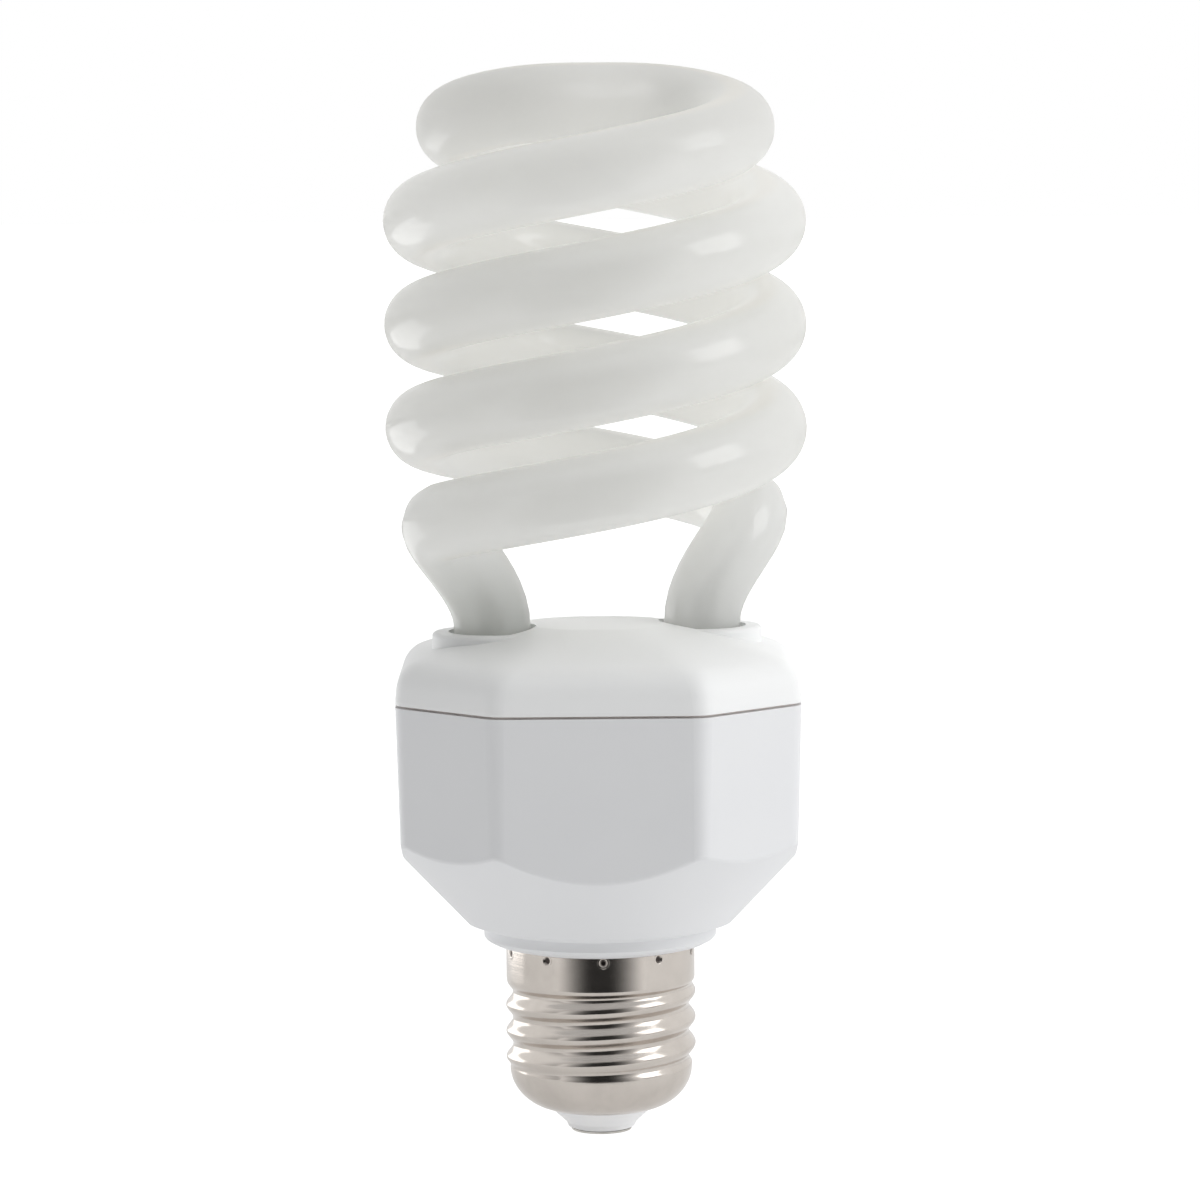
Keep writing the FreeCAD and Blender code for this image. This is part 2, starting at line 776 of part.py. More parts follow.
# Places on the board, each clear of its neighbour by the same gap
post_keep = lead_r + part_gap
toroid_reach = toroid_out_r + toroid_wire
toroid_y = post_keep + toroid_reach
reservoir_x = post_keep + reservoir_r
reservoir_y = leg_y - post_keep - reservoir_r
coupling_y = toroid_y + toroid_reach + part_gap + film_d / 2.0
noise_x = board_half - board_edge - film_d / 2.0
transistor_x = toroid_reach + part_gap + transistor_w / 2.0
transistor_y = leg_y + post_keep + transistor_d
filter_x = -(toroid_reach + part_gap + filter_r)
filter_y = post_keep + filter_r + part_gap
resonance_x = filter_x - filter_r - part_gap - film_d / 2.0
resistor_x = -(board_half - board_edge - lead_r - resistor_len / 2.0 - axial_bend)
resistor_y = -leg_y + post_keep + resistor_r
resistor_step = 2 * resistor_r + resistor_gap
resonance_y = resistor_y + resistor_step + resistor_r + part_gap + film_w / 2.0
diode_x = -1.0
diode_y = -(board_half - board_edge - lead_r - diode_len / 2.0 - axial_bend)
diode_step = 2 * diode_r + diode_gap
choke_x = -(post_keep + choke_w / 2.0)
choke_y = -max(leg_y + post_keep + choke_d / 2.0, post_keep + bobbin_depth() / 2.0)

pieces = {
    "spiral_tube": make_spiral(),
    "top_cover": make_cover(),
    "lower_housing": make_housing(),
    "screw_shell": make_screw_shell(),
    "cap_insulator": make_insulator(),
    "centre_contact": make_contact(),
    "tube_cement_left": make_cement(-1),
    "tube_cement_right": make_cement(1),
    "reservoir_capacitor": make_reservoir(reservoir_x, reservoir_y),
    "resonance_capacitor": make_film(resonance_x, resonance_y, 0),
    "coupling_capacitor": make_film(0.0, coupling_y, 1),
    "noise_capacitor": make_film(noise_x, -leg_y, 0),
    "transistor_upper": make_transistor(transistor_x, transistor_y),
    "transistor_lower": make_transistor(transistor_x, transistor_y + 2 * transistor_d),
    "fuse_resistor": make_fuse(),
    "shell_wire": make_shell_wire(),
}
core, bobbin, coil = make_choke(choke_x, choke_y)
pieces["choke_core"] = core
pieces["choke_bobbin"] = bobbin
pieces["choke_winding"] = coil
core, windings = make_toroid(0.0, toroid_y)
pieces["drive_toroid"] = core
for number, winding in enumerate(windings):
    pieces["drive_winding_%d" % (number + 1)] = winding
core, coil = make_filter(filter_x, filter_y)
pieces["filter_core"] = core
pieces["filter_winding"] = coil
for number in range(4):
    x = diode_x + diode_step * number
    pieces["rectifier_diode_%d" % (number + 1)] = make_axial(diode_r, diode_len, x, diode_y, 0)
for number in range(2):
    y = resistor_y + resistor_step * number
    pieces["base_resistor_%d" % (number + 1)] = make_axial(resistor_r, resistor_len, resistor_x, y, 1)
for side, name in ((-1, "left"), (1, "right")):
    pieces["filament_lead_%s_inner" % name] = make_filament_lead(side, -side)
    pieces["filament_lead_%s_outer" % name] = make_filament_lead(side, side)
pieces["circuit_board"] = make_board()

os.makedirs("parts", exist_ok=True)
for name, shape in pieces.items():
    shape.exportStep("parts/%s.step" % name)
    print(name, shape.ShapeType, shape.isValid(), len(shape.Solids), round(shape.Volume, 2))
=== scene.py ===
import math

import bpy
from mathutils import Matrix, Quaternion, Vector


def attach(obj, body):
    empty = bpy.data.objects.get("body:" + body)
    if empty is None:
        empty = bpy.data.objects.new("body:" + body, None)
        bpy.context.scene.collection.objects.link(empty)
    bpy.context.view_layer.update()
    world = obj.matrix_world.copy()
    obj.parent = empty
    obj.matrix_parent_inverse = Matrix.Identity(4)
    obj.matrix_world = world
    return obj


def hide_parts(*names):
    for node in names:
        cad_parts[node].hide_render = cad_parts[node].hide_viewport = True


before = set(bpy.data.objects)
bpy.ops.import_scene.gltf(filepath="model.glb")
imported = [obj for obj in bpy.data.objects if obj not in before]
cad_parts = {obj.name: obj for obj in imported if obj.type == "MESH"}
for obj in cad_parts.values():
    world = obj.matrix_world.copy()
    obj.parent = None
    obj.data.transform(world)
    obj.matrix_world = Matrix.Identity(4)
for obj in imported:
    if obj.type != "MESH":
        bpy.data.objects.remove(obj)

mm = 0.001
white = (1.0, 1.0, 1.0, 1.0)
scene = bpy.context.scene
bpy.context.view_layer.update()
print("lamp frame loaded, nodes:", len(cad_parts))


class Wire:
    # one socket of a node tree; sums of wires add Math nodes
    def __init__(self, tree, socket=None):
        self.tree = tree
        self.socket = socket

    def make(self, kind, settings=None, sockets=None, out=0):
        node = self.tree.nodes.new(kind)
        for name, value in (settings or {}).items():
            setattr(node, name, value)
        for key, value in (sockets or {}).items():
            if isinstance(value, Wire):
                self.tree.links.new(value.socket, node.inputs[key])
            else:
                node.inputs[key].default_value = value
        return Wire(self.tree, node.outputs[out] if len(node.outputs) else None)

    def calc(self, operation, *values):
        return self.make("ShaderNodeMath", {"operation": operation}, dict(enumerate(values)))

    def __add__(self, other):
        return self.calc("ADD", self, other)

    def __radd__(self, other):
        return self.calc("ADD", other, self)

    def __sub__(self, other):
        return self.calc("SUBTRACT", self, other)

    def __rsub__(self, other):
        return self.calc("SUBTRACT", other, self)

    def __mul__(self, other):
        return self.calc("MULTIPLY", self, other)

    def __truediv__(self, other):
        return self.calc("DIVIDE", self, other)

    def smooth(self, low, high, start=0.0, end=1.0):
        return self.make("ShaderNodeMapRange", {"interpolation_type": "SMOOTHSTEP"},
                         {0: self, 1: low, 2: high, 3: start, 4: end})

    def tint(self, first, second):
        # colour that goes from first to second as this wire goes from 0 to 1
        return self.make("ShaderNodeMix", {"data_type": "RGBA"},
                         {0: self, 6: paint(first), 7: paint(second)}, out=2)


def paint(colour):
    return colour if isinstance(colour, Wire) else (*colour, 1.0)


def grey(value):
    # sRGB 0-255 triple as a linear colour
    return tuple((v / 255 / 12.92) if v < 10.3 else ((v / 255 + 0.055) / 1.055) ** 2.4 for v in value)


def newFinish(name):
    finish = bpy.data.materials.new(name)
    finish.use_nodes = True
    finish.node_tree.nodes.clear()
    return finish, Wire(finish.node_tree)


def objectPlace(w):
    return w.make("ShaderNodeTexCoord", out="Object")


def axisOf(w, place, axis):
    return w.make("ShaderNodeSeparateXYZ", None, {0: place}, out="XYZ".index(axis))


def stored(w, name):
    return w.make("ShaderNodeAttribute", {"attribute_name": name}, out=2)


def noise(w, place, scale, detail, rough):
    return w.make("ShaderNodeTexNoise", None,
                  {"Vector": place, "Scale": scale, "Detail": detail, "Roughness": rough})


def bump(w, height, strength, distance):
    return w.make("ShaderNodeBump", None, {"Strength": strength, "Distance": distance, "Height": height})


def emission(w, strength):
    return w.make("ShaderNodeEmission", None, {0: white, 1: strength})


def diffuse(w, colour):
    return w.make("ShaderNodeBsdfDiffuse", None, {0: paint(colour)})


def mixed(w, share, first, second):
    return w.make("ShaderNodeMixShader", None, {0: share, 1: first, 2: second})


def added(w, first, second):
    return w.make("ShaderNodeAddShader", None, {0: first, 1: second})


def ray(w, kind):
    return w.make("ShaderNodeLightPath", out="Is " + kind + " Ray")


def output(w, shader):
    w.make("ShaderNodeOutputMaterial", None, {0: shader})


def principled(w, **sockets):
    # socket names use _ for spaces
    values = {name.replace("_", " "): value for name, value in sockets.items()}
    return w.make("ShaderNodeBsdfPrincipled", None, values)


# camera at the photo's angle, in millimetres and degrees
cameraSet = {
    "aim": (0.0, 0.0, 73.5), "distance": 700.0, "elevation": 5.84, "roll": -0.466,
    "lens": 153.3, "sensor": 36.0, "shiftX": 2.5 / 1200, "clip": (0.01, 60.0),
}


def makeCamera(s):
    data = bpy.data.cameras.new("photoCamera")
    data.sensor_width = s["sensor"]
    data.lens = s["lens"]
    data.shift_x = s["shiftX"]
    data.clip_start, data.clip_end = s["clip"]
    camera = bpy.data.objects.new("photoCamera", data)
    e = math.radians(s["elevation"])
    back = Vector((0, -math.cos(e), math.sin(e)))
    camera.location = (Vector(s["aim"]) + back * s["distance"]) * mm
    turn = (-back).to_track_quat("-Z", "Y") @ Quaternion((0, 0, 1), math.radians(s["roll"]))
    camera.rotation_euler = turn.to_euler()
    scene.collection.objects.link(camera)
    scene.camera = camera


makeCamera(cameraSet)
print("camera placed")


# studio: white surround that is brightest behind, soft lamps, pale floor, and a dark card in front that
# only mirror-like surfaces see; lamps give name, place, size, power and the rays that they reach
studioSet = {
    "ambient": 0.12, "backdrop": 1.22, "backdropLean": (0.9, 0.4),
    "mirrorFront": 0.42, "mirrorRange": (-0.8, 0.1),
    "lamps": [
        ("lampStrip", (880, -330, 640), (560, 700), 2.2, "both"),
        ("lampRight", (960, -160, 360), (900, 1000), 3.6, "diffuse"),
        ("lampLeft", (-1000, 0, 350), (420, 900), 0.5, "diffuse"),
        ("lampTop", (100, -100, 1100), (1300, 1300), 0.6, "diffuse"),
        ("lampFront", (200, -500, 1080), (1200, 900), 3.3, "diffuse"),
        ("lampLow", (-118, 92, 8), (130, 150), 0.07, "glossy"),
    ],
    "lampAim": (0, 0, 75),
    "floorSize": 9.0, "floorColour": (0.42, 0.42, 0.42), "floorGlow": 0.53,
    "floorSeenColour": (0.5, 0.5, 0.5), "floorSeenGlow": 0.86,
    "cardReach": (50, 400), "cardTop": 480, "cardLift": 0.2, "cardSpread": 54.0, "cardSoft": 0.12,
    "cardDark": 0.028,
}


def flatSheet(name, corners, faces, finish):
    mesh = bpy.data.meshes.new(name)
    mesh.from_pydata(corners, [], faces)
    mesh.materials.append(finish)
    sheet = bpy.data.objects.new(name, mesh)
    scene.collection.objects.link(sheet)
    return sheet


def makeSurround(s):
    world = bpy.data.worlds.new("whiteSurround")
    world.use_nodes = True
    world.node_tree.nodes.clear()
    w = Wire(world.node_tree)
    toward = w.make("ShaderNodeTexCoord", out="Generated")
    behind = axisOf(w, toward, "Y")
    leanBack, leanUp = s["backdropLean"]
    highBehind = behind * leanBack + axisOf(w, toward, "Z") * leanUp
    levels = {
        "lit": highBehind.smooth(0.0, 1.0, s["ambient"], s["backdrop"]),
        "mirrored": behind.smooth(*s["mirrorRange"], s["mirrorFront"], 1.0),
        "seen": 1.0,
    }
    sky = {name: w.make("ShaderNodeBackground", None, {0: white, 1: level}) for name, level in levels.items()}
    seen = w.calc("MAXIMUM", ray(w, "Camera"), ray(w, "Transmission"))
    lighting = mixed(w, ray(w, "Glossy"), sky["lit"], sky["mirrored"])
    w.make("ShaderNodeOutputWorld", None, {0: mixed(w, seen, lighting, sky["seen"])})
    scene.world = world


def makeLamps(s):
    for name, place, size, power, rays in s["lamps"]:
        data = bpy.data.lights.new(name, "AREA")
        data.shape = "RECTANGLE"
        data.size = size[0] * mm
        data.size_y = size[1] * mm
        data.energy = power
        lamp = bpy.data.objects.new(name, data)
        lamp.location = Vector(place) * mm
        lamp.visible_camera = False
        lamp.visible_glossy = rays != "diffuse"
        lamp.visible_diffuse = rays != "glossy"
        lamp.visible_transmission = rays != "glossy"
        lamp.rotation_euler = (Vector(s["lampAim"]) - Vector(place)).to_track_quat("-Z", "Y").to_euler()
        scene.collection.objects.link(lamp)


def makeFloor(s):
    # the camera sees a paler floor, and looks through it from below
    finish, w = newFinish("paleFloor")
    lit = added(w, diffuse(w, s["floorColour"]), emission(w, s["floorGlow"]))
    lifted = added(w, diffuse(w, s["floorSeenColour"]), emission(w, s["floorSeenGlow"]))
    seen = ray(w, "Camera")
    fromBelow = seen * w.make("ShaderNodeNewGeometry", out="Backfacing")
    clear = w.make("ShaderNodeBsdfTransparent")
    output(w, mixed(w, fromBelow, mixed(w, seen, lit, lifted), clear))
    half = s["floorSize"] / 2
    corners = [(-half, -half, 0), (half, -half, 0), (half, half, 0), (-half, half, 0)]
    return flatSheet("floor", corners, [(0, 1, 2, 3)], finish)


def makeCard(s):
    # lies on the floor in front, then stands up; it fades to white at its sides
    near, far = [v * mm for v in s["cardReach"]]
    side = math.tan(math.radians(s["cardSpread"]))
    finish, w = newFinish("darkCard")
    place = objectPlace(w)
    turn = axisOf(w, place, "X") / axisOf(w, place, "Y")
    edge = w.calc("ABSOLUTE", turn).smooth(side * s["cardSoft"], side, s["cardDark"], 1.0)
    output(w, emission(w, edge))
    top = s["cardTop"] * mm
    lift = s["cardLift"] * mm
    corners = [(-near * side, -near, lift), (near * side, -near, lift), (far * side, -far, lift),
               (-far * side, -far, lift), (far * side, -far, top), (-far * side, -far, top)]
    card = flatSheet("darkCard", corners, [(0, 1, 2, 3), (3, 2, 4, 5)], finish)
    card.visible_camera = False
    card.visible_diffuse = False
    card.visible_shadow = False
    card.visible_transmission = False
    return card


makeSurround(studioSet)
makeLamps(studioSet)
floor = makeFloor(studioSet)
card = makeCard(studioSet)
scene.view_settings.view_transform = "Standard"
print("studio lit")


# finishes; noise entries are scale, detail and roughness, bump entries are strength and distance in metres
glassSet = {
    "cloud": (55.0, 4.0, 0.55), "cloudRange": (0.35, 0.7), "cloudBump": (0.05, 0.0006), "grain": (900.0, 2.0, 0.6),
    "powder": grey((227, 228, 229)), "powderThin": grey((220, 221, 221)),
    # the leg colour darkens the leg ends to grey-green: partly a thinner phosphor coat, partly painted shade, kept
    # to the left leg by leftRange
    "legCoatAndShade": grey((160, 166, 162)), "legRange": (0.082, 0.0705), "legCloud": (0.75, 0.5),
    "leftRange": (0.006, -0.018, 0.25, 1.0),
    # inner is painted light: the side of each turn that faces the coil's axis is made paler, as if lit through the
    # turns
    "inner": grey((250, 249, 246)), "innerRange": (0.1, 0.8),
    # the crown colour is painted shade: the top of the coil is made darker grey
    "crownPaintedShade": grey((203, 203, 203)), "crownRange": (0.130, 0.143), "crownDull": 0.7,
    # this warm colour is painted shade: a warm, darker line where the tops and bottoms of the tube lie close to the
    # next turn
    "turnEdgeShade": grey((226, 216, 200)), "turnEdgeShadeRange": (0.80, 1.0), "turnEdgeShadeShare": 0.5,
    "rough": 0.34, "roughGrain": 0.12, "specular": 0.3, "coatRough": 0.11, "coatIndex": 2.0,
    "through": grey((251, 251, 249)), "throughShare": 0.57,
}


def coatedGlass(name, s):
    finish, w = newFinish(name)
    place = objectPlace(w)
    z = axisOf(w, place, "Z")
    cloud = noise(w, place, *s["cloud"])
    grain = noise(w, place, *s["grain"])
    colour = cloud.smooth(*s["cloudRange"]).tint(s["powder"], s["powderThin"])
    # painted shade with a thinner coat: the leg ends are darkened on the left leg only
    leftSide = axisOf(w, place, "X").smooth(*s["leftRange"])
    least, spread = s["legCloud"]
    leftLegCoatAndShade = z.smooth(*s["legRange"]) * leftSide * (least + cloud * spread)
    colour = leftLegCoatAndShade.tint(colour, s["legCoatAndShade"])
    # painted light on the inward-facing side of the turns
    colour = stored(w, "faceIn").smooth(*s["innerRange"]).tint(colour, s["inner"])
    # painted shade on the crown at the top of the coil
    crown = z.smooth(*s["crownRange"])
    colour = crown.tint(colour, s["crownPaintedShade"])
    # painted shade, warm-tinted, along the tops and bottoms of the tube between turns
    facing = stored(w, "faceUp")
    turnEdgeShade = (facing * facing).smooth(*s["turnEdgeShadeRange"]) * s["turnEdgeShadeShare"]
    colour = turnEdgeShade.tint(colour, s["turnEdgeShade"])
    shader = principled(w, Base_Color=colour, Roughness=s["rough"] + grain * s["roughGrain"],
                        Coat_Weight=1.0 - crown * s["crownDull"], Coat_Roughness=s["coatRough"],
                        Coat_IOR=s["coatIndex"], Specular_IOR_Level=s["specular"],
                        Normal=bump(w, cloud, *s["cloudBump"]))
    through = w.make("ShaderNodeBsdfTranslucent", None, {0: paint(s["through"])})
    output(w, mixed(w, s["throughShare"], shader, through))
    return finish


plasticSet = {
    "drift": (22.0, 3.0, 0.5), "driftRange": (0.3, 0.72), "spark": (2600.0, 2.0, 0.6), "sparkBump": (0.06, 0.0001),
    # the seam colour is painted shade: the plastic is darkened in a narrow band at the seam height
    "seam": 0.06065, "seamHalf": 0.00022, "seamCore": 0.4, "seamShade": grey((236, 228, 224)),
    "rough": 0.38, "roughSpark": 0.14, "specular": 0.5,
}
# one white plastic for both parts: the cover is set lighter than the housing, painted light on the roof beneath the
# coil
coverSet = {**plasticSet, "light": grey((247, 248, 248)), "shade": grey((244, 245, 245))}
housingSet = {**plasticSet, "light": grey((235, 236, 237.5)), "shade": grey((231, 232, 234.5))}


def mouldedPlastic(name, s):
    finish, w = newFinish(name)
    place = objectPlace(w)
    drift = noise(w, place, *s["drift"])
    spark = noise(w, place, *s["spark"])
    colour = drift.smooth(*s["driftRange"]).tint(s["light"], s["shade"])
    # painted shade along the seam between cover and housing
    fromSeam = w.calc("ABSOLUTE", axisOf(w, place, "Z") - s["seam"])
    colour = fromSeam.smooth(s["seamHalf"], s["seamHalf"] * s["seamCore"]).tint(colour, s["seamShade"])
    output(w, principled(w, Base_Color=colour, Roughness=s["rough"] + spark * s["roughSpark"],
                         Specular_IOR_Level=s["specular"], Normal=bump(w, spark, *s["sparkBump"])))
    return finish


steelSet = {
    # pit is painted shade for the pressed marks
    "bright": grey((209, 202, 195)), "dull": grey((198, 191, 184)), "pit": grey((70, 64, 62)),
    "stretch": (1.0, 1.0, 26.0), "drawn": (130.0, 4.0, 0.6), "drawnBump": (0.05, 0.0002),
    "patch": (160.0, 4.0, 0.6), "patchRange": (0.3, 0.75), "rough": 0.09, "roughDrawn": 0.14, "roughPit": 0.2,
}


def platedSteel(name, s):
    finish, w = newFinish(name)
    place = objectPlace(w)
    stretched = w.make("ShaderNodeMapping", None, {0: place, 3: s["stretch"]})
    drawn = noise(w, stretched, *s["drawn"])
    patch = noise(w, place, *s["patch"])
    colour = patch.smooth(*s["patchRange"]).tint(s["bright"], s["dull"])
    # painted shade: the pressed marks are coloured dark, on top of their small dents
    pit = stored(w, "markDepth")
    colour = pit.tint(colour, s["pit"])
    rough = s["rough"] + drawn * s["roughDrawn"] + pit * s["roughPit"]
    output(w, principled(w, Base_Color=colour, Metallic=1.0, Roughness=rough,
                         Normal=bump(w, drawn, *s["drawnBump"])))
    return finish


smallPartSet = {
    "cloud": (240.0, 3.0, 0.55), "cloudRange": (0.32, 0.7), "grain": (2400.0, 2.0, 0.6), "grainBump": (0.1, 0.0001),
    "roughGrain": 0.15,
}
# per finish: two tones, least roughness, and metal or not
smallPartTones = {
    "insulatorBody": ((0.96, 0.96, 0.96), (0.92, 0.92, 0.93), 0.3, 0.0),
    "contactTin": ((0.70, 0.68, 0.64), (0.58, 0.56, 0.52), 0.28, 1.0),
    "whiteSilicone": ((0.76, 0.76, 0.73), (0.68, 0.68, 0.64), 0.55, 0.0),
    "paperBoard": ((0.42, 0.27, 0.12), (0.34, 0.20, 0.08), 0.55, 0.0),
    "blackSleeve": ((0.022, 0.024, 0.032), (0.014, 0.015, 0.02), 0.32, 0.0),
    "greenFilm": ((0.06, 0.20, 0.10), (0.04, 0.15, 0.07), 0.25, 0.0),
    "redFilm": ((0.36, 0.06, 0.03), (0.28, 0.04, 0.02), 0.25, 0.0),
    "blackEpoxy": ((0.03, 0.03, 0.032), (0.02, 0.02, 0.022), 0.5, 0.0),
    "ferrite": ((0.06, 0.06, 0.062), (0.04, 0.04, 0.042), 0.6, 0.0),
    "bobbinNylon": ((0.70, 0.68, 0.58), (0.62, 0.60, 0.50), 0.45, 0.0),
    "copperEnamel": ((0.72, 0.32, 0.12), (0.58, 0.22, 0.07), 0.25, 1.0),
    "redWire": ((0.45, 0.04, 0.03), (0.36, 0.03, 0.02), 0.4, 0.0),
    "tinnedWire": ((0.66, 0.65, 0.63), (0.54, 0.53, 0.51), 0.3, 1.0),
    "blueResistor": ((0.14, 0.30, 0.42), (0.10, 0.24, 0.36), 0.4, 0.0),
    "greenFuse": ((0.18, 0.34, 0.22), (0.14, 0.28, 0.17), 0.5, 0.0),
}


def smallPart(name, s, tones):
    light, dark, rough, metal = tones
    finish, w = newFinish(name)
    place = objectPlace(w)
    cloud = noise(w, place, *s["cloud"])
    grain = noise(w, place, *s["grain"])
    colour = cloud.smooth(*s["cloudRange"]).tint(light, dark)
    output(w, principled(w, Base_Color=colour, Metallic=metal, Roughness=rough + grain * s["roughGrain"],
                         Normal=bump(w, grain, *s["grainBump"])))
    return finish


finishNodes = {
    "insulatorBody": ["cap_insulator"],
    "contactTin": ["centre_contact"],
    "whiteSilicone": ["tube_cement_left", "tube_cement_right"],
    "paperBoard": ["circuit_board"],
    "blackSleeve": ["reservoir_capacitor"],
    "greenFilm": ["coupling_capacitor"],
    "redFilm": ["resonance_capacitor", "noise_capacitor"],
    "blackEpoxy": ["transistor_upper", "transistor_lower", "rectifier_diode_1", "rectifier_diode_2",
                   "rectifier_diode_3", "rectifier_diode_4"],
    "ferrite": ["choke_core", "drive_toroid", "filter_core"],
    "bobbinNylon": ["choke_bobbin"],
    "copperEnamel": ["choke_winding", "filter_winding"],
    "redWire": ["drive_winding_1", "drive_winding_2", "drive_winding_3"],
    "tinnedWire": ["shell_wire", "filament_lead_left_inner", "filament_lead_left_outer",
                   "filament_lead_right_inner", "filament_lead_right_outer"],
    "blueResistor": ["base_resistor_1", "base_resistor_2"],
    "greenFuse": ["fuse_resistor"],
    "coatedGlass": ["spiral_tube"],
    "coverPlastic": ["top_cover"],
    "housingPlastic": ["lower_housing"],
    "platedSteel": ["screw_shell"],
}
finishes = {name: smallPart(name, smallPartSet, tones) for name, tones in smallPartTones.items()}
finishes["coatedGlass"] = coatedGlass("coatedGlass", glassSet)
finishes["coverPlastic"] = mouldedPlastic("coverPlastic", coverSet)
finishes["housingPlastic"] = mouldedPlastic("housingPlastic", housingSet)
finishes["platedSteel"] = platedSteel("platedSteel", steelSet)
for finishName, nodeNames in finishNodes.items():
    for nodeName in nodeNames:
        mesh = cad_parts[nodeName].data
        mesh.materials.clear()
        mesh.materials.append(finishes[finishName])
print("finishes on nodes:", sum(len(nodeNames) for nodeNames in finishNodes.values()))


# node trees for pieces made by a rule
def newTree(name, inputs):
    tree = bpy.data.node_groups.new(name, "GeometryNodeTree")
    tree.interface.new_socket("Geometry", in_out="OUTPUT", socket_type="NodeSocketGeometry")
    tree.interface.new_socket("Geometry", in_out="INPUT", socket_type="NodeSocketGeometry")
    for label, kind in inputs:
        tree.interface.new_socket(label, in_out="INPUT", socket_type="NodeSocket" + kind)
    entry = tree.nodes.new("NodeGroupInput")
    return tree, Wire(tree), {socket.name: Wire(tree, socket) for socket in entry.outputs if socket.name}


def store(w, geometry, name, value):
    return w.make("GeometryNodeStoreNamedAttribute", {"data_type": "FLOAT", "domain": "POINT"},
                  {"Geometry": geometry, "Name": name, "Value": value})


def endTree(w, geometry, finish):
    soft = w.make("GeometryNodeSetShadeSmooth", None, {0: geometry})
    whole = w.make("GeometryNodeRealizeInstances", None, {0: soft})
    dressed = w.make("GeometryNodeSetMaterial", None, {"Geometry": whole, "Material": finish})
    w.make("NodeGroupOutput", None, {0: dressed})


def plainMesh(name, source, tree, values):
    # runs the tree on the source and keeps the result as a plain mesh
    holder = bpy.data.objects.new(name + "Source", source)
    scene.collection.objects.link(holder)
    modifier = holder.modifiers.new("rule", "NODES")
    modifier.node_group = tree
    for item in tree.interface.items_tree:
        if item.in_out == "INPUT" and item.name in values:
            modifier[item.identifier] = values[item.name]
    graph = bpy.context.evaluated_depsgraph_get()
    mesh = bpy.data.meshes.new_from_object(holder.evaluated_get(graph), depsgraph=graph)
    mesh.name = name
    holder.modifiers.remove(modifier)
    bpy.data.objects.remove(holder)
    piece = bpy.data.objects.new(name, mesh)
    scene.collection.objects.link(piece)
    return piece


# glass spiral: one tube along a double helix from leg to leg, in millimetres and degrees
spiralSet = {
    "tubeRadius": 5.25, "sides": 48, "step": 1.5, "coilRadius": 23.5, "halfTurnRise": 14.05,
    "coilStart": 83.2, "startAngle": 210.4, "crownAngle": 801.0, "crownEnd": 941.0,
    "crownInset": 2.4, "crownRise": 10.0, "crownEase": 1.7,
    "legX": 14.4, "legY": 3.0, "legBend": 70.4, "legEnd": 61.0, "legPull": 21.4, "coilPull": 22.5,
    "legPoints": 40, "bendPoints": 120, "coilPoints": 900, "crownPoints": 400,
}


def spiralPath(s):
    def coilHeight(angle):
        return s["coilStart"] + s["halfTurnRise"] * (angle - 180) / 180

    def coilPoint(angle):
        a = math.radians(angle)
        return Vector((s["coilRadius"] * math.cos(a), s["coilRadius"] * math.sin(a), coilHeight(angle)))

    def shares(count):
        return [k / count for k in range(count)]

    a = math.radians(s["startAngle"])
    foot = Vector((-s["legX"], -s["legY"], s["legBend"]))
    first = coilPoint(s["startAngle"])
    out = Vector((-math.sin(a) * s["coilRadius"], math.cos(a) * s["coilRadius"], s["halfTurnRise"] / math.pi))
    out.normalize()
    up = Vector((0, 0, 1))
    half = []
    for t in shares(s["legPoints"]):
        half.append(Vector((foot.x, foot.y, s["legEnd"] + (foot.z - s["legEnd"]) * t)))
    for t in shares(s["bendPoints"]):
        half.append(foot * (2 * t ** 3 - 3 * t ** 2 + 1) + up * s["legPull"] * (t ** 3 - 2 * t ** 2 + t)
                    + first * (3 * t ** 2 - 2 * t ** 3) + out * s["coilPull"] * (t ** 3 - t ** 2))
    turn = s["crownAngle"] - s["startAngle"]
    for t in shares(s["coilPoints"]):
        half.append(coilPoint(s["startAngle"] + turn * t))
    span = s["crownEnd"] - s["crownAngle"]
    climb = s["halfTurnRise"] * span / 180
    crownStart = coilHeight(s["crownAngle"])
    for t in shares(s["crownPoints"]):
        u = 1 - (1 - t) ** s["crownEase"]
        a = math.radians(s["crownAngle"] + span * u)
        r = s["coilRadius"] * math.sqrt(max(0.0, 1 - u ** s["crownInset"]))
        z = crownStart + climb * (u - u ** s["crownRise"] / s["crownRise"])
        half.append(Vector((r * math.cos(a), r * math.sin(a), z)))
    top = Vector((0, 0, crownStart + climb * (1 - 1 / s["crownRise"])))
    return half + [top] + [Vector((-p.x, -p.y, p.z)) for p in reversed(half)]


def pathCurve(name, points):
    curve = bpy.data.curves.new(name, "CURVE")
    curve.dimensions = "3D"
    spline = curve.splines.new("POLY")
    spline.points.add(len(points) - 1)
    for place, point in zip(spline.points, points):
        place.co = (*(point * mm), 1.0)
    return curve


